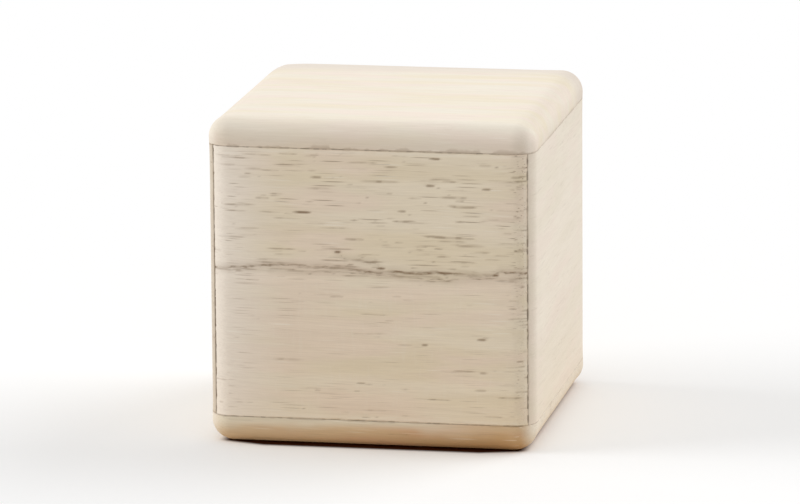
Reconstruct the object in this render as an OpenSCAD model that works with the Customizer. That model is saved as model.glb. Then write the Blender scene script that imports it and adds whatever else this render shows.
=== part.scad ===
// Hollow wooden cube, glued up from six thin boards.
// Four side boards, mitred where they meet, stand as a square tube.
// A top and a bottom board lie flat over the two ends of that tube and close it.
// Every outer edge and corner is rounded after the boards are joined.
// The origin is the middle of the base, the front faces -Y and the right side faces +X.

/* [Cube] */
// Outside length of every edge of the cube
side = 50; // [40:1:80]
// Radius of the rounded outer edges and corners
edge_r = 3.5; // [1:0.25:5]

/* [Boards] */
// Thickness of the four side boards
side_board_t = 4.2; // [3:0.1:8]
// Thickness of the top and bottom boards
end_board_t = 4.3; // [3:0.1:8]

/* [Hidden] */
$fn = 64;

// Half the cube, its core inside the rounding, and the height of the side boards
half = side / 2;
core = side - 2 * edge_r;
side_board_h = side - 2 * end_board_t;

// Turns about Z that take the front board to the other three sides
front_turn = 0;
right_turn = 90;
back_turn = 180;
left_turn = 270;

// Wood colours of the boards
top_wood = [0.96, 0.92, 0.85];
bottom_wood = [0.78, 0.63, 0.46];
front_wood = [0.85, 0.78, 0.68];
side_wood = [0.92, 0.87, 0.79];

// Square face outline with rounded corners, centred on the origin
module face_outline() {
    square([core, side], center = true);
    square([side, core], center = true);
    for (x = [-1, 1], y = [-1, 1])
        translate([x * core / 2, y * core / 2]) circle(edge_r);
}

// Finished outside of the cube: one bar along each axis, and a ball in each corner
module rounded_cube() {
    translate([0, 0, half]) {
        for (turn = [[0, 0, 0], [90, 0, 0], [0, 90, 0]])
            rotate(turn) linear_extrude(core, center = true) face_outline();
        for (x = [-1, 1], y = [-1, 1], z = [-1, 1])
            translate([x * core / 2, y * core / 2, z * core / 2]) sphere(edge_r);
    }
}

// Flat blank that closes one end of the tube, with its lower face at the given height
module end_blank(height) {
    translate([-half, -half, height]) cube([side, side, end_board_t]);
}

// Blank of the front board, mitred at both ends
module side_blank() {
    inner_x = half - side_board_t;
    inner_y = side_board_t - half;
    translate([0, 0, end_board_t]) linear_extrude(side_board_h)
        polygon([[-half, -half], [half, -half], [inner_x, inner_y], [-inner_x, inner_y]]);
}

// One side board: the front blank turned to its side and cut to the rounded outside
module side_board(turn) {
    intersection() {
        rounded_cube();
        rotate([0, 0, turn]) side_blank();
    }
}

// Lid of the tube
module top_board() {
    color(top_wood) intersection() {
        rounded_cube();
        end_blank(side - end_board_t);
    }
}

// Floor of the tube, which the cube stands on
module bottom_board() {
    color(bottom_wood) intersection() {
        rounded_cube();
        end_blank(0);
    }
}

module front_board() {
    color(front_wood) side_board(front_turn);
}

module right_board() {
    color(side_wood) side_board(right_turn);
}

module back_board() {
    color(front_wood) side_board(back_turn);
}

module left_board() {
    color(side_wood) side_board(left_turn);
}

top_board();
bottom_board();
front_board();
right_board();
back_board();
left_board();
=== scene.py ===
"""Looks of the hollow wooden cube: six sanded boards, glued and rounded, on a white floor."""

import math

import bpy
import numpy as np
from mathutils import Euler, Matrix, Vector


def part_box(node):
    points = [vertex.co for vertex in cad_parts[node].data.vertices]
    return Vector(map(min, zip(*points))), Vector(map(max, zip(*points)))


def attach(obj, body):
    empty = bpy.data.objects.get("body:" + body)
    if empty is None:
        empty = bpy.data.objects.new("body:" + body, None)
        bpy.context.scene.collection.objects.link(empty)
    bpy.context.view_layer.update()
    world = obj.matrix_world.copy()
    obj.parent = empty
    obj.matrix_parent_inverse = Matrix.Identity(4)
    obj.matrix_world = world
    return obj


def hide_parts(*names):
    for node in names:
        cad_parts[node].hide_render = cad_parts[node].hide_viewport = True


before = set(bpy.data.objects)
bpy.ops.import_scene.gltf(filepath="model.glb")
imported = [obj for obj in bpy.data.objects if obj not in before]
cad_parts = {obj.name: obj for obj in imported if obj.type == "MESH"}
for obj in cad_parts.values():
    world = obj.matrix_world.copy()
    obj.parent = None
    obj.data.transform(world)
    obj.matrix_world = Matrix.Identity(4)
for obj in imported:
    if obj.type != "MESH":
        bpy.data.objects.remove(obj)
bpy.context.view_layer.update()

MM = 0.001  # metres in a millimetre; sizes below are in millimetres unless they say otherwise


# ---------------------------------------------------------------- sizes, from the frame

def box_mm(node):
    """Lowest and highest corner of a CAD board, in millimetres."""
    low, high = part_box(node)
    return np.array(low) / MM, np.array(high) / MM


top_low, top_high = box_mm("top_board")
front_low, front_high = box_mm("front_board")
SIDE = top_high[0] - top_low[0]
HALF = SIDE / 2
END_T = top_high[2] - top_low[2]
BOARD_T = front_high[1] - front_low[1]
# The mitre leaves the front board this much narrower than the cube, which gives the edge radius
EDGE_R = (SIDE - (front_high[0] - front_low[0])) / (2 - math.sqrt(2))
CORE = HALF - EDGE_R
CENTRE = np.array([0, 0, HALF])

# The grid of each board's surface
ALONG = 0.4  # spacing along the grain
ACROSS = 0.11  # spacing across the grain, fine enough to carry the larger pores
DOWN = 2 * ACROSS  # spacing down the edges of the end boards
SEAM_STEP = 0.02  # first spacing at a seam
SEAM_GROWTH = 1.45  # each spacing over the one before
FAR = 20.0  # stands for a distance too large to matter

# What sanding, wear and the joints leave in the surface
SANDED_SIDES = 0.12  # how much lower the flats lie where an upright edge's rounding starts
SANDED_ENDS = 0.08  # the same at the edges of the top and bottom face
SANDED_REACH = 4.0  # how far into the flats that goes
UNEVEN = 0.02  # mean depth of the faces' waviness
UNEVEN_SLOW = (11.0, 0.014)  # length of its long waves, and how far they go up and down
UNEVEN_QUICK = (4.0, 0.006)  # the same for its short waves
ARRIS = 0.08  # mean radius of the broken arris at a seam
ARRIS_SPREAD = 0.05  # how much that radius varies
ARRIS_WAVES = (1.7, 0.5)  # lengths over which it does
CHIP_DEPTH = 0.14
CHIP_REACH = 0.25  # how far from the seam chips go
CHIP_LENGTH = 0.6
CHIP_NOISE = (0.35, 0.75)  # noise values between which a chip goes to its full depth
CHIP_GROUP_LENGTH = 6.0
CHIP_GROUP_NOISE = (-0.4, 0.4)
BASE_FLAT = (0.02, 0.4)  # heights between which wear fades in above the flat base
LINE_DEPTH = 0.04  # of the groove along a growth line
LINE_WIDTH = 0.16  # half of that groove's width
# These two are the same for all boards, so that both sides of a joint are worn alike
MITRE_SEED = 40
SEAM_SEED = 60

# Open pores
PORE_COUNT = 420  # on each board
PORE_DEPTH = 0.07
PORE_MARGIN = 0.3  # a pore is drawn further from the seams than this, unless it lies beside another
# The least, the spread above it, and the power that makes large ones rare
PORE_HALF_LENGTH = (0.35, 2.6, 2.2)
PORE_HALF_WIDTH = (0.13, 0.06, 1)
PORE_STRENGTH = (0.15, 0.6, 2)
PORE_LEAN = 0.012  # typical slope against the grain
PORE_INWARDS = 0.5  # how far inwards and outwards from its middle a pore keeps its width
PORE_FULL = 0.3  # share of the way from its middle to its rim on which it has its full strength
PORES_BESIDE = 0.4  # share of pores that lie beside the one before
PORE_STEPS = (1.8, 0.0, 0.5)  # typical distance to it along the grain, inwards and across
PORE_UNBROKEN = 0.45  # share of a pore's strength that is left where it is broken up
PORE_BREAKS = (0.8, 1.0, 0.5)  # size of the stretches where it is
PORE_BREAK_NOISE = (-0.5, 0.3)
NOTABLE_HALF_WIDTH = 0.27
NOTABLE_TIP = 0.2  # added at each end of a notable pore, where it fades out
NOTABLE_DOT = 1.0  # one that reaches less far than this from its middle isn't broken up
LEAST_DENSITY = 1e-9  # keeps every density above nothing


# ---------------------------------------------------------------- noise and profiles

HASH_STEPS = (73856093, 19349663, 83492791)
HASH_SEED = 2654435761
HASH_MIX = 1274126177


def lattice_noise(points, cell, seed):
    """Smooth noise from -1 to 1 at points (n, 3), with features about a cell long.

    The cell is one size for all axes, or three. The hash gives each lattice corner its own value.
    """
    scaled = points / np.asarray(cell, float) + 1000
    base = np.floor(scaled).astype(np.int64)
    t = scaled - base
    t = t * t * (3 - 2 * t)
    total = np.zeros(len(points))
    for corner in np.ndindex(2, 2, 2):
        at = base + corner
        mixed = np.bitwise_xor.reduce(at * HASH_STEPS, axis=1) ^ (seed * HASH_SEED)
        mixed = ((mixed ^ (mixed >> 13)) * HASH_MIX) & 0x7FFFFFFF
        value = ((mixed ^ (mixed >> 16)) & 0xFFFF) / 32767.5 - 1
        weight = np.prod(np.where(corner, t, 1 - t), axis=1)
        total += weight * value
    return total


def smoothstep(low, high, x):
    """Smooth change from 0 to 1 as x goes from low to high."""
    t = np.clip((x - low) / (high - low), 0, 1)
    return t * t * (3 - 2 * t)


def graded(length, spacing, both_ends=True):
    """Grid positions from 0 to length, close together at seams and a full spacing apart elsewhere.

    The seam is at both ends, or else only at 0.
    """
    step, run = SEAM_STEP, [0.0]
    while step < spacing and run[-1] + step < length / 3:
        run.append(run[-1] + step)
        step *= SEAM_GROWTH
    start = np.array(run)
    end = length - start[::-1] if both_ends else np.array([length])
    gap = end[0] - start[-1]
    middle = np.linspace(start[-1], end[0], max(2, round(gap / spacing) + 1))
    return np.concatenate([start[:-1], middle, end[1:]])


# ---------------------------------------------------------------- board shapes

def rounded(q):
    """Points of the square box taken to the rounded cube, with the outward normal there."""
    inner = np.clip(q - CENTRE, -CORE, CORE) + CENTRE
    normal = q - inner
    normal /= np.linalg.norm(normal, axis=1)[:, None]
    return inner + normal * EDGE_R, normal


def seam_depth(distance, points, seed):
    """How far the surface falls away near a seam: a broken arris of ragged radius, and chips."""
    coarse, fine = (lattice_noise(points, cell, seed + i) for i, cell in enumerate(ARRIS_WAVES))
    radius = ARRIS + ARRIS_SPREAD * (coarse + fine) / 2
    inside = np.clip(radius - distance, 0, None)
    arris = radius - np.sqrt(np.clip(radius ** 2 - inside ** 2, 0, None))
    chips = smoothstep(*CHIP_NOISE, lattice_noise(points, CHIP_LENGTH, seed + 2))
    chips *= smoothstep(*CHIP_GROUP_NOISE, lattice_noise(points, CHIP_GROUP_LENGTH, seed + 3))
    return arris + CHIP_DEPTH * chips * (1 - smoothstep(0.0, CHIP_REACH, distance))


def sanded_away(q):
    """Depth that sanding takes off towards the edges and, at the back left, at the corners too.

    Points are on the square box. Along each axis a ramp grows over the flat and on round the edge,
    and levels out halfway round.
    """
    over = np.abs(q - CENTRE) - CORE
    ramp = np.clip(1 + over / SANDED_REACH, 0, 1) ** 2
    arc = np.arctan2(np.clip(over, 0, None), EDGE_R)
    slope = 2 / SANDED_REACH * EDGE_R
    rise = 1 + slope * (arc - arc ** 2 / (math.pi / 2))
    most = 1 + slope * math.pi / 8
    x, y, z = np.where(over < 0, ramp, rise).T / most
    spared = np.where((q[:, 0] < 0) & (q[:, 1] > 0), 0.0, 1.0)
    upright_edges = SANDED_SIDES * x * y * (1 - spared * z)
    level_edges = SANDED_ENDS * z * (x + y - 2 * spared * x * y)
    return most * (upright_edges + level_edges)


def unevenness(points):
    """Slow waviness that hand sanding leaves, always inwards."""
    slow_length, slow = UNEVEN_SLOW
    quick_length, quick = UNEVEN_QUICK
    slow_waves = slow * lattice_noise(points, slow_length, 5)
    return UNEVEN + slow_waves + quick * lattice_noise(points, quick_length, 6)


def drawn(rng, least, spread, power):
    """A random size for each pore."""
    return least + spread * rng.random(PORE_COUNT) ** power


def stamp_pore(field, points, centre, half_length, half_width, strength, lean=0.0, up=False):
    """Adds a pore along X to a field of strengths. It is thin along Y if it opens up, else Z."""
    across, inwards = (1, 2) if up else (2, 1)
    near = np.abs(points[:, 0] - centre[0]) < half_length
    near = np.flatnonzero(near & (np.abs(points[:, across] - centre[across]) < 2 * half_width))
    offset = (points[near] - centre).T
    side = offset[across] - lean * offset[0]
    deep = np.clip(np.abs(offset[inwards]) - PORE_INWARDS, 0, None)
    away = np.sqrt((offset[0] / half_length) ** 4 + (side ** 2 + deep ** 2) / half_width ** 2)
    field[near] = np.maximum(field[near], strength * smoothstep(1.0, PORE_FULL, away))


def open_pores(points, normals, density, to_seam, seed, notable=()):
    """Strength, from 0 to 1, of the pores that the surface cuts open."""
    rng = np.random.default_rng(seed)
    density = density * (to_seam > PORE_MARGIN) + LEAST_DENSITY
    chosen = rng.choice(len(points), PORE_COUNT, p=density / density.sum())
    centres = points[chosen]
    opens_up = np.abs(normals[chosen, 2]) > np.abs(normals[chosen, 1])
    beside = rng.random(PORE_COUNT) < PORES_BESIDE
    opens_up = np.where(beside, np.roll(opens_up, 1), opens_up)
    steps = rng.normal(size=(PORE_COUNT, 3)) * PORE_STEPS
    steps[opens_up] = steps[opens_up][:, [0, 2, 1]]
    centres = np.where(beside[:, None], np.roll(centres, 1, axis=0) + steps, centres)
    half_lengths = drawn(rng, *PORE_HALF_LENGTH)
    half_widths = drawn(rng, *PORE_HALF_WIDTH)
    strengths = drawn(rng, *PORE_STRENGTH)
    leans = rng.normal(size=PORE_COUNT) * PORE_LEAN
    opened = np.zeros(len(points))
    dots = np.zeros(len(points))
    for pore in zip(centres, half_lengths, half_widths, strengths, leans, opens_up):
        stamp_pore(opened, points, *pore)
    for x, z, half_length, strength in notable:
        reach = max(half_length, PORE_HALF_LENGTH[0]) + NOTABLE_TIP
        field = dots if reach < NOTABLE_DOT else opened
        stamp_pore(field, points, np.array([x, -HALF, z]), reach, NOTABLE_HALF_WIDTH, strength)
    whole = smoothstep(*PORE_BREAK_NOISE, lattice_noise(points, PORE_BREAKS, seed))
    return np.maximum(opened * (PORE_UNBROKEN + (1 - PORE_UNBROKEN) * whole), dots)


def cut_depth(pores, from_line, openness):
    """Depth of the pores and of the groove along a growth line. Openness scales the pores' depth."""
    return openness * PORE_DEPTH * pores + LINE_DEPTH * np.exp(-(from_line / LINE_WIDTH) ** 2)


def grid_faces(ids):
    """Quads of a grid of vertex numbers, (rows, columns)."""
    a, b, c, d = ids[:-1, :-1], ids[:-1, 1:], ids[1:, 1:], ids[1:, :-1]
    return np.stack([a, b, c, d], axis=-1).reshape(-1, 4)


def make_mesh(name, vertices, quads, triangles):
    """A smooth shaded mesh. Vertices are in millimetres."""
    mesh = bpy.data.meshes.new(name)
    mesh.vertices.add(len(vertices))
    mesh.vertices.foreach_set("co", (vertices * MM).astype(np.float32).ravel())
    loops = np.concatenate([quads.ravel(), triangles.ravel()])
    sizes = np.concatenate([np.full(len(quads), 4), np.full(len(triangles), 3)])
    mesh.loops.add(len(loops))
    mesh.loops.foreach_set("vertex_index", loops.astype(np.int32))
    mesh.polygons.add(len(sizes))
    mesh.polygons.foreach_set("loop_start", (np.cumsum(sizes) - sizes).astype(np.int32))
    mesh.polygons.foreach_set("use_smooth", np.ones(len(sizes), bool))
    mesh.update(calc_edges=True)
    return mesh


def ring_of(rows, columns):
    """Grid places round the border of a grid, in order."""
    last_row, last_column = rows - 1, columns - 1
    places = [(0, c) for c in range(last_column)]
    places += [(r, last_column) for r in range(last_row)]
    places += [(last_row, c) for c in range(last_column, 0, -1)]
    places += [(r, 0) for r in range(last_row, 0, -1)]
    return np.array(places)


def side_board_mesh(name, turn, figure, seed, openness=1.0, notable=()):
    """A mitred side board: the front board's shape, turned about Z."""
    across = graded(SIDE, ALONG) - HALF
    up = graded(SIDE - 2 * END_T, ACROSS) + END_T
    x, z = np.meshgrid(across, up)
    q = np.stack([x.ravel(), np.full(x.size, -HALF), z.ravel()], axis=-1)
    angle = np.arctan2(np.clip(np.abs(q[:, 0]) - CORE, 0, None), EDGE_R)
    to_mitre = (math.pi / 4 - angle) * EDGE_R + np.clip(CORE - np.abs(q[:, 0]), 0, None)
    to_end = np.minimum(q[:, 2] - END_T, SIDE - END_T - q[:, 2])
    to_seam = np.minimum(to_mitre, to_end)
    facing, facing_normal = rounded(q)
    from_line, above, density = figure(facing)
    pores = open_pores(facing, facing_normal, density, to_seam, seed, notable)
    spin = np.array(Euler((0, 0, turn)).to_matrix())
    points = facing @ spin.T
    normal = facing_normal @ spin.T
    depth = seam_depth(to_mitre, points, MITRE_SEED) + seam_depth(to_end, points, SEAM_SEED)
    depth += unevenness(points)
    depth += sanded_away(q @ spin.T)
    depth += cut_depth(pores, from_line, openness)
    outer = points - normal * depth[:, None]
    rows, columns = x.shape
    ids = np.arange(x.size).reshape(rows, columns)
    ring = ring_of(rows, columns)
    loop = ids[ring[:, 0], ring[:, 1]]
    edge = q[loop]
    inner_half = HALF - BOARD_T
    inner_face = np.full(len(edge), -inner_half)
    inner = np.stack([edge[:, 0] * inner_half / HALF, inner_face, edge[:, 2]], axis=-1)
    inner = inner @ spin.T
    inner_centre = np.array([[0, -inner_half, HALF]]) @ spin.T
    inner_ids = np.arange(x.size, x.size + len(loop))
    centre_ids = np.full(len(loop), x.size + len(loop))
    walls = np.stack([loop, inner_ids, np.roll(inner_ids, -1), np.roll(loop, -1)], axis=-1)
    fan = np.stack([inner_ids, centre_ids, np.roll(inner_ids, -1)], axis=-1)
    vertices = np.concatenate([outer, inner, inner_centre])
    mesh = make_mesh(name, vertices, np.concatenate([grid_faces(ids), walls]), fan)
    add_attributes(mesh, seam=to_end, mitre=to_mitre, line=from_line, above=above, pore=pores)
    return mesh


def end_board_mesh(name, is_top, figure, seed, openness=1.0):
    """The top or bottom board: five rounded faces and the flat joint face."""
    along = np.linspace(-HALF, HALF, round(SIDE / ALONG) + 1)
    across = np.linspace(-HALF, HALF, round(SIDE / ACROSS) + 1)
    x, y = np.meshgrid(along, across)
    face_q = np.stack([x.ravel(), y.ravel(), np.full(x.size, SIDE)], axis=-1)
    ids = np.arange(x.size).reshape(x.shape)
    ring = ring_of(*x.shape)
    loop = ids[ring[:, 0], ring[:, 1]]
    layers = [loop]
    q = [face_q]
    used = x.size
    for height in graded(END_T, DOWN, both_ends=False)[-2::-1]:
        layer = face_q[loop].copy()
        layer[:, 2] = SIDE - END_T + height
        q.append(layer)
        layers.append(np.arange(used, used + len(loop)))
        used += len(loop)
    q = np.concatenate(q)
    points, normal = rounded(q)
    above_seam = np.minimum(q[:, 2] - (SIDE - END_T), END_T - EDGE_R)
    to_seam = above_seam + EDGE_R * np.arcsin(np.clip(normal[:, 2], 0, 1))
    if not is_top:
        points[:, 2] = SIDE - points[:, 2]
        normal[:, 2] = -normal[:, 2]
    from_line, above, density = figure(points)
    pores = open_pores(points, normal, density, to_seam, seed)
    depth = seam_depth(to_seam, points, SEAM_SEED) + unevenness(points) + sanded_away(q)
    depth += cut_depth(pores, from_line, openness)
    if not is_top:
        depth *= smoothstep(*BASE_FLAT, points[:, 2])
    outer = points - normal * depth[:, None]
    joint_z = SIDE - END_T if is_top else END_T
    stack = np.stack(layers)
    stack = np.concatenate([stack, stack[:, :1]], axis=1)
    quads = np.concatenate([grid_faces(ids), grid_faces(stack)[:, ::-1]])
    rim = layers[-1]
    fan = np.stack([rim, np.full(len(rim), used), np.roll(rim, -1)], axis=-1)
    if not is_top:
        quads = quads[:, ::-1]
        fan = fan[:, ::-1]
    mesh = make_mesh(name, np.concatenate([outer, [[0, 0, joint_z]]]), quads, fan)
    far = np.full(len(q), FAR)
    add_attributes(mesh, seam=to_seam, mitre=far, line=from_line, above=above, pore=pores)
    return mesh


def add_attributes(mesh, **fields):
    """Fields of the outer surface; the hidden vertices that follow it get the value for far away."""
    for name, values in fields.items():
        layer = mesh.attributes.new(name, "FLOAT", "POINT")
        padded = np.full(len(mesh.vertices), 0.0 if name == "pore" else FAR)
        padded[:len(values)] = values
        layer.data.foreach_set("value", padded.astype(np.float32))


# ---------------------------------------------------------------- figure of each board
# A figure takes surface points, with the grain along X, and gives the distance to the nearest
# growth line, the height above the main one, and how densely pores open there. On an end board
# the height above is how far behind the line a point lies.

# Waves: their length, and how far they stray
STRAND_SLOW = (1.3, 0.09)
STRAND_QUICK = (0.5, 0.05)
SIDE_LINE_SLOW = (9.0, 0.5)
END_LINE_SLOW = (9.0, 0.6)
LINE_QUICK = (1.4, 0.12)

STRAND_FAINTER = 0.12  # a side strand looks as faint as the main one does this far from its middle
LINE_SLOPE = 0.8  # an end board's line moves this far along Y for each millimetre into the board

# How densely pores open on the front board
PORES_ANYWHERE = 0.35
PORES_ABOVE = 0.6  # added above the line
PORES_RIGHT = 0.9  # added to that towards the right
PORES_BY_MITRE = 2.0
PORES_BY_LINE = 16
ABOVE_LINE = (0.5, 4.0)  # heights between which the pores get denser
TO_RIGHT = (-16, 12)  # the same for X
TO_MITRE = (20.5, 22.5)  # the same by the right mitre
BY_LINE = 0.4  # how far from the line its own pores go

# The same for a board with a plain line
PLAIN_PORES = 0.5
PLAIN_PORES_BY_LINE = 10
BY_PLAIN_LINE = 0.35


def waves(x, length, height, seed):
    """Noise that changes only along the grain."""
    return height * lattice_noise(np.stack([x, x * 0, x * 0], axis=-1), length, seed)


# The front board's growth line and the two fainter strands beside it: x and z of points along them
MAIN_LINE = [
    (-24, 27.0), (-21, 27.2), (-16, 27.8), (-11, 27.8), (-7, 27.6), (-4, 27.7), (1, 27.1), (3, 27.4),
    (6, 27.2), (10, 27.4), (15, 27.2), (19, 27.3), (20, 28.0), (24, 27.7),
]
LOWER_STRAND = [
    (-15, 27.2), (-6, 26.9), (-4, 27.1), (3, 26.7), (8, 26.5), (13, 26.3), (16, 26.7), (23, 27.0),
]
UPPER_STRAND = [(-4.7, 30.0), (-3.8, 29.2), (-1.5, 29.0), (1, 28.5), (1.8, 27.8), (2.8, 27.4)]

# The pores that stand out on the front board: x, z, half length, strength
NOTABLE_PORES = [
    (-10.2, 36.0, 1.5, 1.0),
    (1.7, 41.0, 3.2, 0.7),
    (10.1, 44.7, 0.8, 0.9),
    (9.3, 40.6, 0.6, 0.8),
    (14.4, 37.5, 2.0, 0.75),
    (13.0, 38.9, 2.2, 0.5),
    (12.0, 32.8, 2.8, 0.7),
    (15.5, 31.6, 2.3, 0.5),
    (17.1, 30.7, 1.2, 0.4),
    (17.9, 40.3, 0.6, 0.7),
    (17.7, 43.9, 0.9, 0.55),
    (22.4, 42.2, 0.8, 0.5),
    (-16.2, 38.0, 1.0, 0.5),
    (-17.5, 42.4, 1.3, 0.45),
    (-7.9, 41.4, 0.7, 0.6),
    (-7.5, 39.7, 2.0, 0.35),
    (-2.3, 32.1, 1.5, 0.55),
    (5.1, 36.6, 0.5, 0.6),
    (17.1, 17.4, 0.6, 0.8),
    (8.4, 16.3, 0.2, 0.7),
    (17.3, 12.3, 0.4, 0.5),
    (16.9, 9.6, 0.8, 0.4),
    (-12.4, 13.4, 2.6, 0.3),
    (-4.7, 30.1, 0.1, 1.0),
    (1.8, 27.8, 0.4, 1.0),
    (5.8, 27.2, 1.2, 0.8),
    (11.4, 27.4, 1.2, 0.8),
    (19.1, 27.3, 0.2, 1.0),
]


def strand_distance(points, knots):
    """Distance from a strand on a side board, and the height above it."""
    x, _, z = points.T
    across, height = np.array(knots).T
    course = np.interp(x, across, height)
    course = course + waves(x, *STRAND_SLOW, 22) + waves(x, *STRAND_QUICK, 23)
    outside = np.clip(across[0] - x, 0, None) + np.clip(x - across[-1], 0, None)
    return np.hypot(z - course, outside), z - course


def front_figure(points):
    """A dark line above the middle with a strand on each side of it, and pores mostly above."""
    main, above = strand_distance(points, MAIN_LINE)
    lower, _ = strand_distance(points, LOWER_STRAND)
    upper, _ = strand_distance(points, UPPER_STRAND)
    from_line = np.minimum(main, np.minimum(lower, upper) + STRAND_FAINTER)
    x = points[:, 0]
    upper_part = smoothstep(*ABOVE_LINE, above)
    upper_part *= PORES_ABOVE + PORES_RIGHT * smoothstep(*TO_RIGHT, x)
    by_mitre = PORES_BY_MITRE * smoothstep(*TO_MITRE, x)
    by_line = PORES_BY_LINE * np.exp(-(from_line / BY_LINE) ** 2)
    return from_line, above, PORES_ANYWHERE + upper_part + by_mitre + by_line


def leaning_line(x, place, lean, slow, seed):
    """A wavy line at a place across the grain, leaning by some millimetres over the board."""
    line = place + lean * x / SIDE + waves(x, *slow, seed)
    return line + waves(x, *LINE_QUICK, seed + 1)


def plain_figure(above, bold):
    """The figure of one line, from the height above it. Bold 0 leaves the line out."""
    from_line = np.abs(above) if bold else np.full(len(above), FAR)
    by_line = PLAIN_PORES_BY_LINE * bold * np.exp(-(above / BY_PLAIN_LINE) ** 2)
    return from_line, above, PLAIN_PORES + by_line


def side_figure(height, lean, bold, seed):
    """One line on a side board, at a height above the base."""
    def figure(points):
        x, _, z = points.T
        return plain_figure(z - leaning_line(x, height, lean, SIDE_LINE_SLOW, seed), bold)
    return figure


def end_figure(place, lean, bold, seed):
    """One line on an end board, at a place along Y on its face, sloping into the board."""
    def figure(points):
        x, y, z = points.T
        depth = HALF - np.abs(z - HALF)
        above = y - leaning_line(x, place, lean, END_LINE_SLOW, seed) + LINE_SLOPE * depth
        return plain_figure(above, bold)
    return figure


# ---------------------------------------------------------------- wood

def srgb(red, green, blue):
    """A colour as seen on screen, from 0 to 255, as the linear colour that the shaders use."""
    def linear(value):
        value /= 255
        return value / 12.92 if value <= 0.04045 else ((value + 0.055) / 1.055) ** 2.4
    return (linear(red), linear(green), linear(blue), 1)


# Numbers of a mix node's sockets for colours, as the others have the same names
MIX_INPUTS = (0, 6, 7)
MIX_OUTPUT = 2


class Graph:
    """The node tree of a material or world, built by short calls that return an output socket."""

    def __init__(self, owner):
        self.owner = owner
        owner.use_nodes = True
        self.tree = owner.node_tree

    def plug(self, socket, value):
        if isinstance(value, bpy.types.NodeSocket):
            self.tree.links.new(value, socket)
        else:
            socket.default_value = value

    def node(self, kind, inputs, **settings):
        made = self.tree.nodes.new("ShaderNode" + kind)
        for key, value in settings.items():
            setattr(made, key, value)
        for key, value in inputs.items():
            self.plug(made.inputs[key], value)
        return made

    def math(self, operation, *values):
        return self.node("Math", dict(enumerate(values)), operation=operation).outputs[0]

    def vector(self, operation, *values):
        return self.node("VectorMath", dict(enumerate(values)), operation=operation).outputs[0]

    def noise(self, place, cell, detail=2.0, roughness=0.5, output="Fac"):
        """Noise with features about a cell long along each axis of place."""
        scaled = self.vector("DIVIDE", place, cell)
        inputs = {"Vector": scaled, "Scale": 1.0, "Detail": detail, "Roughness": roughness}
        return self.node("TexNoise", inputs).outputs[output]

    def specks(self, place, cell, low, high, share):
        """Scattered spindles a cell apart; a share of them shows, each with its own strength."""
        inputs = {"Vector": self.vector("DIVIDE", place, cell), "Scale": 1.0, "Randomness": 1.0}
        made = self.node("TexVoronoi", inputs)
        chance, strength, _ = self.split(made.outputs["Color"])
        shown = self.step(self.math("SUBTRACT", share, chance), 0.0, SPECK_LIMIT)
        return self.product(self.step(made.outputs["Distance"], low, high, 1.0, 0.0), shown, strength)

    def attribute(self, name):
        return self.node("Attribute", {}, attribute_name=name).outputs["Fac"]

    def product(self, *values):
        result = values[0]
        for value in values[1:]:
            result = self.math("MULTIPLY", result, value)
        return result

    def step(self, value, low, high, start=0.0, end=1.0):
        """Smooth change from start to end as value goes from low to high."""
        inputs = {"Value": value, "From Min": low, "From Max": high, "To Min": start, "To Max": end}
        return self.node("MapRange", inputs, interpolation_type="SMOOTHSTEP").outputs[0]

    def mix(self, share, under, over):
        made = self.node("Mix", {}, data_type="RGBA")
        for key, value in zip(MIX_INPUTS, (share, under, over)):
            self.plug(made.inputs[key], value)
        return made.outputs[MIX_OUTPUT]

    def cover(self, colour, layers):
        """A colour with layers over it, each a share and a tone."""
        for share, tone in layers:
            colour = self.mix(share, colour, tone)
        return colour

    def split(self, value):
        return self.node("SeparateXYZ", {"Vector": value}).outputs


WOOD = {
    "turn": 0.0,  # angle about Z that brings the grain onto X
    "shift": (0, 0, 0),  # takes each board to its own piece of the pattern
    "pale": srgb(246, 233, 211),
    "blush": srgb(245, 227, 207),
    "olive": srgb(240, 225, 198),
    "pore": srgb(136, 110, 84),
    "pores": 1.0,  # strength of the pores
    "line": 0.85,  # strength of the growth line
    "fibres": 0.5,  # strength of the streaks along the grain
    "rays": 0.0,  # strength of the short flecks across the grain below the line
    # The edge keys paint shading across an end board's rounded edges, by distance from the glue line
    "edge": srgb(214, 190, 166),
    "edge_tint": 0.0,  # how far the wood takes the edge's colour at the glue line: painted shade across the rounded edge
    "edge_reach": 3.0,  # millimetres over which it does
    "edge_waver": 0.15,  # share by which that changes along the board
    "edge_far": 1.0,  # share of that colour left at the board's far end along the grain
    "beyond": 0.0,  # how far the wood behind the line takes its colour
    "beyond_tone": srgb(236, 227, 221),
    "start": 0.0,  # how far the wood takes the start's colour at its low end along the grain
    "start_reach": 9.0,  # millimetres over which it does
    "start_tone": srgb(253, 242, 229),
    "seam": srgb(150, 124, 98),
    "seam_reach": 0.35,  # how far the glue line's stain reaches, at most
    "seam_dark": 0.5,  # strength of the glue line at the board's flat joints
    "mitre_dark": 0.8,  # the same at the mitres
    "unbroken": 0.15,  # strength of the glue line between its dots
    "worn": 0.0,  # how pale the sanded arris next to the glue line is
    "end_grain": 1.0,  # share of the glue line and the painted edge shading that shows on the end grain
    "end_tone": srgb(240, 226, 206),
    "ends": 0.0,  # how far the end grain takes its colour
}


# Sizes of the wood's features along the grain and across it
BENDS = (34, 12, 12)  # slow bends of the grain itself
OLIVE_DRIFT = (36, 4.5, 4.5)
BLUSH_DRIFT = (18, 4, 4)
EDGE_DRIFT = (11, 6, 6)
STREAKS = (26, 0.8, 0.8)
FIBRES = (5, 0.16, 0.16)
RAYS = (0.5, 3.0, 3.0)
LINE_PATCHES = (1.8, 0.45, 0.45)
LINE_GAPS = (1.2, 0.5, 0.5)
SMUDGES = (2.6 * MM,) * 3  # on the glue lines, in metres, as they don't follow the grain
DOTS = (1.0 * MM,) * 3
DOT_GROUPS = (5.0 * MM,) * 3

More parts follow.
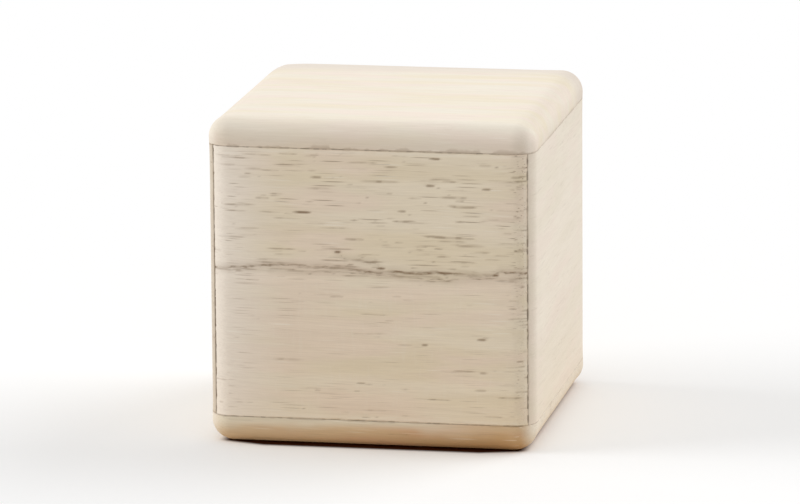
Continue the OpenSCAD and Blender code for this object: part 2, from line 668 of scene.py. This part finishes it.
# Specks: how far apart they are, the distances from their middle between which they fade, in
# shares of that, and the share of them that shows
FINE_PORES = {"cell": (7.0, 0.24, 0.24), "low": 0.12, "high": 0.36, "share": 0.42}
FLECKS = {"cell": (8.0, 0.4, 0.4), "low": 0.12, "high": 0.34, "share": 0.4}
SPECK_LIMIT = 0.05  # how soft the limit is between specks that show and ones that don't

# Noise values between which each feature comes in or fades
NOISE_MEAN = 0.5
OLIVE_NOISE = (0.36, 0.66)
BLUSH_NOISE = (0.44, 0.66)
EDGE_NOISE = (0.35, 0.65)
STREAK_NOISE = (0.35, 0.7)
FIBRE_NOISE = (0.32, 0.62)
RAY_NOISE = (0.55, 0.75)
PATCH_NOISE = (0.3, 0.6)
GAP_NOISE = (0.38, 0.6)
SMUDGE_NOISE = (0.38, 0.7)
DOT_NOISE = (0.42, 0.58)
DOT_GROUP_NOISE = (0.4, 0.56)
WORN_NOISE = (0.4, 0.6)
ROUGHNESS_NOISE = (0.2, 0.8)

# Where each feature comes in or fades: distances, or heights above the growth line
BEYOND_LINE = (0.0, 7.0)
FINE_PORES_THIN_OUT = (-3.0, 4.0)
RAYS_FADE = (-3.0, -0.5)
LINE_FADES = (0.0, 0.28)
LINE_RAGGED = 0.5  # how far the line's edges move from the lowest noise to the highest
HALO_FADES = (0.1, 1.3)
STAIN_REACH = 0.1  # how far the glue line's stain reaches, at least
STAIN_FADES = (0.2, 1.0)  # in shares of its reach
FLAT_HAIR_FADES = (0.02, 0.16)
MITRE_HAIR_FADES = (0.04, 0.3)
WORN_STARTS = (0.1, 0.3)
WORN_FADES = (0.5, 0.9)
FAR_END = (0.2 * HALF, 0.8 * HALF)  # from the middle, along the grain
END_GRAIN = ((CORE + 1.0) * MM, (HALF - 0.3) * MM)  # from the middle, sideways, in metres

BEND = (0.0, 1.5, 1.5)  # how far the slow bends carry the grain, from one side to the other
FLECKS_APART = (7, 3, 5)  # moves the pale flecks off the fine pores
FLECK_TONE = srgb(252, 245, 232)
RAY_TONE = srgb(250, 242, 228)
WORN_TONE = srgb(250, 240, 224)
HAIR_TONE = srgb(104, 86, 68)

# The most that a layer covers of what lies under it, before the board's own strengths
BLUSH_SHARE = 0.85
STREAK_SHARE = 0.10
FIBRE_SHARE = 0.14
FLECK_SHARE = 0.85
HALO_SHARE = 0.2
FINE_PORE_SHARE = 0.65
PORE_SHARE = 0.85
STAIN_SHARE = 0.34

# What is left of a feature where it is weakest
FINE_PORES_LEFT = 0.5
PATCH_LEFT = 0.4
GAP_LEFT = 0.45
DOTS_LEFT = 0.5
WORN_LEFT = 0.4

# Relief of the finest wood, in millimetres, roughness from between the fibres to on them, and gloss
PORE_RELIEF = -0.03
FIBRE_RELIEF = 0.02
ROUGHNESS = (0.85, 0.72)
GLOSS = 0.12


def board_fields(g, w):
    """Sockets for where a point lies on its board: place in metres, and distances in millimetres.

    On_end is the share of end grain there, and shows what is left of the glue line's stain and of the
    painted edge shading.
    """
    place = g.node("TexCoord", {}).outputs["Object"]
    turned = {"Location": w["shift"], "Rotation": (0, 0, w["turn"]), "Scale": (1 / MM,) * 3}
    grain = g.node("Mapping", {"Vector": place, **turned}).outputs[0]
    along = g.math("SUBTRACT", g.split(grain)[0], w["shift"][0])
    bends = g.noise(grain, BENDS, detail=1.0, output="Color")
    bends = g.vector("SUBTRACT", bends, (NOISE_MEAN,) * 3)
    on_end = g.step(g.math("ABSOLUTE", g.split(place)[0]), *END_GRAIN)
    return {
        "place": place,
        "grain": g.vector("ADD", grain, g.vector("MULTIPLY", bends, BEND)),
        "along": along,
        "from_line": g.attribute("line"),
        "above": g.attribute("above"),
        "to_seam": g.attribute("seam"),
        "to_mitre": g.attribute("mitre"),
        "on_end": on_end,
        "shows": g.step(on_end, 0.0, 1.0, 1.0, w["end_grain"]),
    }


def ground_tone(g, w, at, fibre):
    """Slow drift of tone over the board, painted shade across its rounded edges, the colour of its
    ends, and streaks.
    """
    grain, along = at["grain"], at["along"]
    olive = g.step(g.noise(grain, OLIVE_DRIFT, detail=3.0), *OLIVE_NOISE)
    blush = g.step(g.noise(grain, BLUSH_DRIFT, detail=2.0), *BLUSH_NOISE, 0.0, BLUSH_SHARE)
    beyond = g.step(at["above"], *BEYOND_LINE, 0.0, w["beyond"])
    start = g.step(along, -HALF, w["start_reach"] - HALF, w["start"], 0.0)
    # Painted shading across the rounded edge, by distance from the glue line
    waver = w["edge_waver"]
    uneven = g.step(g.noise(grain, EDGE_DRIFT, detail=2.0), *EDGE_NOISE, 1 - waver, 1 + waver)
    to_seam = g.math("DIVIDE", at["to_seam"], uneven)
    tint = g.step(to_seam, 0.0, w["edge_reach"], w["edge_tint"], 0.0)
    tint = g.product(tint, g.step(along, *FAR_END, 1.0, w["edge_far"]))
    broad = g.noise(grain, STREAKS, detail=3.0, roughness=0.6)
    layers = [
        (olive, w["olive"]),
        (blush, w["blush"]),
        (beyond, w["beyond_tone"]),
        (start, w["start_tone"]),
        (g.product(tint, at["shows"]), w["edge"]),
        (g.product(at["on_end"], w["ends"]), w["end_tone"]),
        (g.step(broad, *STREAK_NOISE, STREAK_SHARE * w["fibres"], 0.0), w["pore"]),
        (g.step(fibre, *FIBRE_NOISE, FIBRE_SHARE * w["fibres"], 0.0), w["pore"]),
    ]
    return g.cover(w["pale"], layers)


def small_marks(g, w, at):
    """Fine pores and pale flecks along the grain, and rays: short flecks across it below the line."""
    grain, above = at["grain"], at["above"]
    fine = g.product(g.specks(grain, **FINE_PORES), w["pores"])
    fine = g.product(fine, g.step(above, *FINE_PORES_THIN_OUT, FINE_PORES_LEFT, 1.0))
    apart = g.vector("ADD", grain, FLECKS_APART)
    flecks = g.product(g.specks(apart, **FLECKS), w["fibres"])
    rays = g.step(g.noise(grain, RAYS, detail=1.0), *RAY_NOISE)
    rays = g.product(rays, g.step(above, *RAYS_FADE, 1.0, 0.0), w["rays"])
    return fine, flecks, rays


def growth_line(g, w, at):
    """The dark growth line, broken up, and the soft shade beside it."""
    grain, from_line = at["grain"], at["from_line"]
    patchy = g.noise(grain, LINE_PATCHES, detail=3.0, roughness=0.6)
    strays = g.math("MULTIPLY", g.math("SUBTRACT", patchy, NOISE_MEAN), LINE_RAGGED)
    line = g.step(g.math("ADD", from_line, strays), *LINE_FADES, w["line"], 0.0)
    line = g.product(line, g.step(patchy, *PATCH_NOISE, 1.0, PATCH_LEFT))
    gaps = g.noise(grain, LINE_GAPS, detail=2.0)
    line = g.product(line, g.step(gaps, *GAP_NOISE, GAP_LEFT, 1.0))
    halo = g.step(from_line, *HALO_FADES, HALO_SHARE * w["line"], 0.0)
    return line, halo


def glue_line(g, w, at):
    """The glue line's patchy stain, its dark hair in dots, and the pale worn arris beside it."""
    place, to_seam, to_mitre = at["place"], at["to_seam"], at["to_mitre"]
    smudge = g.noise(place, SMUDGES, detail=2.0)
    reach = g.step(smudge, *SMUDGE_NOISE, STAIN_REACH, w["seam_reach"])
    nearest = g.math("MINIMUM", to_seam, to_mitre)
    stain = g.step(g.math("DIVIDE", nearest, reach), *STAIN_FADES, STAIN_SHARE, 0.0)
    stain = g.product(stain, at["shows"])
    dots = g.step(g.noise(place, DOTS, detail=1.0), *DOT_NOISE, w["unbroken"], 1.0)
    groups = g.noise(place, DOT_GROUPS, detail=2.0)
    dots = g.product(dots, g.step(groups, *DOT_GROUP_NOISE, DOTS_LEFT, 1.0))
    flat_hair = g.product(g.step(to_seam, *FLAT_HAIR_FADES, w["seam_dark"], 0.0), at["shows"])
    mitre_hair = g.step(to_mitre, *MITRE_HAIR_FADES, w["mitre_dark"], 0.0)
    hair = g.product(g.math("MAXIMUM", flat_hair, mitre_hair), dots)
    worn = g.product(g.step(nearest, *WORN_STARTS), g.step(nearest, *WORN_FADES, w["worn"], 0.0))
    worn = g.product(worn, g.step(smudge, *WORN_NOISE, WORN_LEFT, 1.0))
    return stain, hair, worn


def wood(name, **changes):
    """The material of one board. Changes are to the values in WOOD."""
    w = {**WOOD, **changes}
    g = Graph(bpy.data.materials.new(name))
    at = board_fields(g, w)
    fibre = g.noise(at["grain"], FIBRES, detail=3.0, roughness=0.65)
    fine, flecks, rays = small_marks(g, w, at)
    line, halo = growth_line(g, w, at)
    stain, hair, worn = glue_line(g, w, at)
    pore = g.product(g.attribute("pore"), w["pores"])
    colour = g.cover(ground_tone(g, w, at, fibre), [
        (g.product(flecks, FLECK_SHARE), FLECK_TONE),
        (rays, RAY_TONE),
        (worn, WORN_TONE),
        (halo, w["pore"]),
        (g.product(fine, FINE_PORE_SHARE), w["pore"]),
        (line, w["pore"]),
        (g.product(pore, PORE_SHARE), w["pore"]),
        (stain, w["seam"]),
        (hair, HAIR_TONE),
    ])
    relief = g.math("ADD", g.product(fine, PORE_RELIEF), g.product(fibre, FIBRE_RELIEF))
    bump = g.node("Bump", {"Height": relief, "Distance": MM, "Strength": 1.0}).outputs[0]
    surface = g.tree.nodes["Principled BSDF"].inputs
    g.plug(surface["Base Color"], colour)
    g.plug(surface["Roughness"], g.step(fibre, *ROUGHNESS_NOISE, *ROUGHNESS))
    g.plug(surface["Normal"], bump)
    g.plug(surface["Specular IOR Level"], GLOSS)
    return g.owner


# ---------------------------------------------------------------- the six boards

QUARTER = math.pi / 2
SIDE_TONES = {
    "pale": srgb(248, 239, 225),
    "blush": srgb(247, 235, 222),
    "olive": srgb(244, 235, 219),
}
END_TONES = {
    "pale": srgb(248, 240, 225),
    "blush": srgb(249, 236, 223),
    "olive": srgb(246, 235, 213),
}


def add_board(name, node, mesh, material):
    """Puts a board in the scene, where it stands for its CAD node."""
    mesh.materials.append(material)
    board = bpy.data.objects.new(name, mesh)
    bpy.context.scene.collection.objects.link(board)
    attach(board, "root")
    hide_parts(node)


# The front board is paler towards its left end: painted light from the left, strongest on its rounded
# left edge.
add_board(
    "board_front", "front_board",
    side_board_mesh("board_front", turn=0, figure=front_figure, seed=71, notable=NOTABLE_PORES),
    wood("wood_front", rays=0.08, worn=0.3, start=1.0, start_reach=14.0),
)
# The right board is darker at its front end: painted shade on its rounded edge beside the mitre.
add_board(
    "board_right", "right_board",
    side_board_mesh("board_right", turn=QUARTER, seed=72, openness=0.5,
                    figure=side_figure(height=34, lean=3, bold=0, seed=31)),
    wood("wood_right", turn=-QUARTER, shift=(90, 0, 0), pores=0.2, line=0.1, fibres=0.3,
         seam_dark=0.2, mitre_dark=0.4, start=0.35, start_reach=4.0,
         start_tone=srgb(205, 182, 154), **SIDE_TONES),
)
add_board(
    "board_back", "back_board",
    side_board_mesh("board_back", turn=2 * QUARTER, seed=73,
                    figure=side_figure(height=18, lean=-4, bold=0.6, seed=33)),
    wood("wood_back", shift=(0, 120, 40), pores=0.8, line=0.4, worn=0.5),
)
# The left board is darker at its front end: painted shade on its rounded edge beside the mitre.
add_board(
    "board_left", "left_board",
    side_board_mesh("board_left", turn=-QUARTER, seed=74, openness=0.7,
                    figure=side_figure(height=14, lean=5, bold=0.3, seed=35)),
    wood("wood_left", turn=-QUARTER, shift=(40, 70, 90), pores=0.4, line=0.25, fibres=0.4,
         seam_dark=0.2, mitre_dark=0.9, seam_reach=0.6, unbroken=0.7, start=0.8, start_reach=5.0,
         start_tone=srgb(198, 182, 160), **SIDE_TONES),
)
# The top board's rounded edges carry painted shade, darker towards the glue line and less on its left
# and right end grain. Towards its back edge the top face turns greyer.
add_board(
    "board_top", "top_board",
    end_board_mesh("board_top", is_top=True, seed=75, openness=0.3,
                   figure=end_figure(place=14, lean=2, bold=0, seed=37)),
    wood("wood_top", shift=(0, 40, 130), pores=0.12, line=0.05, fibres=0.35, edge_tint=0.42,
         edge_reach=6.0, edge_waver=0.04, beyond=1.0, beyond_tone=srgb(238, 228, 216),
         seam_reach=0.9, seam_dark=0.3, end_grain=0.25, **END_TONES),
)
# The bottom board's tones are painted shade and warm reflected light: pale at the glue line, darker
# and more orange down its rounded front and back edges to the base, pale cream on its left and right
# end grain, and paler towards its left end.
add_board(
    "board_bottom", "bottom_board",
    end_board_mesh("board_bottom", is_top=False, seed=76,
                   figure=end_figure(place=-8, lean=3, bold=0.3, seed=39)),
    wood("wood_bottom", shift=(60, 10, 10), pores=0.6, line=0.3, seam_dark=0.2, end_grain=0.25,
         edge=srgb(240, 230, 209), edge_tint=1.0, edge_reach=2.8, edge_waver=0.45, edge_far=0.2,
         ends=1.0, end_tone=srgb(246, 237, 222),
         start=0.8, start_reach=50.0, start_tone=srgb(240, 220, 190),
         pale=srgb(218, 186, 145), blush=srgb(218, 170, 136), olive=srgb(206, 170, 126)),
)


# ---------------------------------------------------------------- floor, light, camera

# Angles are in degrees
WHITE = (1, 1, 1, 1)
SKY = 0.63  # strength of the world's light
KEY_RIGHT = (0.25, 0.19, 0.20)  # a lamp's direction; its length is the share of full light it gives
KEY_SPREAD = 50
FILL_LEFT = (-0.38, -0.06, 0.17)
FILL_SPREAD = 40

CAMERA_AZIMUTH = 10.7  # from the front towards the right
CAMERA_ELEVATION = 12.05
CAMERA_ROLL = -0.41
CAMERA_DISTANCE = 0.97  # metres, from the cube's centre
SENSOR = 36
LENS = 285

FLOOR_REACH = 4.0  # metres from the middle to each side
BOUNCE_CHANGES = (0.03, 0.06)  # metres from the middle between which the bounce's tone changes
BOUNCE_NEAR = srgb(222, 203, 176)  # pale wood, which the cube stands on in the photo
BOUNCE_FAR = srgb(210, 208, 204)
# Painted contact shadow: a dark tone on the floor, seen by the camera only, in the gap below the
# cube's rounded edges
PAINTED_CONTACT_SHADOW = srgb(60, 30, 14)
CONTACT_FADES = (2.6, 4.2)  # how far out from the flat base the painted contact shadow fades, front and back
CONTACT_ENDS = (0.5, 2.5)  # the same at the left and right ends
CONTACT_TAPERS = 5.0  # how far before the ends it starts to narrow
CONTACT_NARROWING = 0.3  # by how much, for each millimetre on from there


def seen_share(g):
    """1 for the rays that show the surface to the camera, also in gloss or through glass, else 0."""
    path = g.node("LightPath", {}).outputs
    seen = g.math("MAXIMUM", path["Is Camera Ray"], path["Is Glossy Ray"])
    return g.math("MAXIMUM", seen, path["Is Transmission Ray"])


def painted_shadow_share(g, place):
    """Share of the painted contact shadow on the floor: 1 under the cube and in the dark gap below
    its rounded edges, 0 beyond that.
    """
    flat_base = (CORE * MM, CORE * MM, 0)
    out = g.vector("SUBTRACT", g.vector("ABSOLUTE", place), flat_base)
    sideways, lengthways, _ = g.split(out)
    near_end = g.math("MAXIMUM", g.math("ADD", sideways, CONTACT_TAPERS * MM), 0.0)
    outwards = g.math("ADD", lengthways, g.math("MULTIPLY", near_end, CONTACT_NARROWING))
    front_and_back = g.step(outwards, CONTACT_FADES[0] * MM, CONTACT_FADES[1] * MM, 1.0, 0.0)
    ends = g.step(sideways, CONTACT_ENDS[0] * MM, CONTACT_ENDS[1] * MM, 1.0, 0.0)
    return g.product(front_and_back, ends)


def make_floor():
    """White to the camera, with the cube's shadow and a painted contact shadow below its rounded
    edges. The light that bounces off it sees other tones.
    """
    reach = FLOOR_REACH
    mesh = bpy.data.meshes.new("floor")
    corners = [(-reach, -reach, 0), (reach, -reach, 0), (reach, reach, 0), (-reach, reach, 0)]
    mesh.from_pydata(corners, [], [(0, 1, 2, 3)])
    floor = bpy.data.objects.new("floor", mesh)
    bpy.context.scene.collection.objects.link(floor)
    g = Graph(bpy.data.materials.new("floor_white"))
    place = g.node("TexCoord", {}).outputs["Object"]
    away = g.node("VectorMath", {0: place}, operation="LENGTH").outputs["Value"]
    bounce_tone = g.mix(g.step(away, *BOUNCE_CHANGES, 1.0, 0.0), BOUNCE_FAR, BOUNCE_NEAR)
    bounce = g.node("BsdfDiffuse", {"Color": bounce_tone}).outputs[0]
    # The camera sees the floor white with the painted contact shadow in it; the bounce light doesn't
    # see that shadow
    seen_tone = g.mix(painted_shadow_share(g, place), WHITE, PAINTED_CONTACT_SHADOW)
    white = g.node("BsdfDiffuse", {"Color": seen_tone}).outputs[0]
    both = g.node("MixShader", {0: seen_share(g), 1: bounce, 2: white}).outputs[0]
    g.plug(g.tree.nodes["Material Output"].inputs["Surface"], both)
    g.tree.nodes.remove(g.tree.nodes["Principled BSDF"])
    mesh.materials.append(g.owner)


def make_world():
    """White to the camera, and a soft even light on everything else."""
    world = bpy.data.worlds.new("studio")
    bpy.context.scene.world = world
    g = Graph(world)
    background = g.tree.nodes["Background"].inputs
    g.plug(background["Color"], WHITE)
    g.plug(background["Strength"], g.step(seen_share(g), 0.0, 1.0, SKY, 1.0))


def add_sun(name, towards, spread):
    """Soft lamp in a direction, whose length is the share of full light that it gives face on."""
    light = bpy.data.lights.new(name, "SUN")
    light.energy = Vector(towards).length * math.pi
    light.angle = math.radians(spread)
    lamp = bpy.data.objects.new(name, light)
    lamp.rotation_mode = "QUATERNION"
    lamp.rotation_quaternion = Vector(towards).to_track_quat("Z", "Y")
    bpy.context.scene.collection.objects.link(lamp)


def make_camera():
    azimuth, elevation = math.radians(CAMERA_AZIMUTH), math.radians(CAMERA_ELEVATION)
    flat = math.cos(elevation)
    back = Vector((math.sin(azimuth) * flat, -math.cos(azimuth) * flat, math.sin(elevation)))
    roll = Euler((0, 0, math.radians(CAMERA_ROLL))).to_quaternion()
    data = bpy.data.cameras.new("camera")
    data.sensor_width = SENSOR
    data.lens = LENS
    camera = bpy.data.objects.new("camera", data)
    camera.location = Vector((0, 0, HALF * MM)) + back * CAMERA_DISTANCE
    camera.rotation_mode = "QUATERNION"
    camera.rotation_quaternion = (-back).to_track_quat("-Z", "Y") @ roll
    bpy.context.scene.collection.objects.link(camera)
    bpy.context.scene.camera = camera


make_floor()
make_world()
add_sun("key_right", KEY_RIGHT, KEY_SPREAD)
add_sun("fill_left", FILL_LEFT, FILL_SPREAD)
make_camera()
bpy.context.scene.view_settings.view_transform = "Standard"
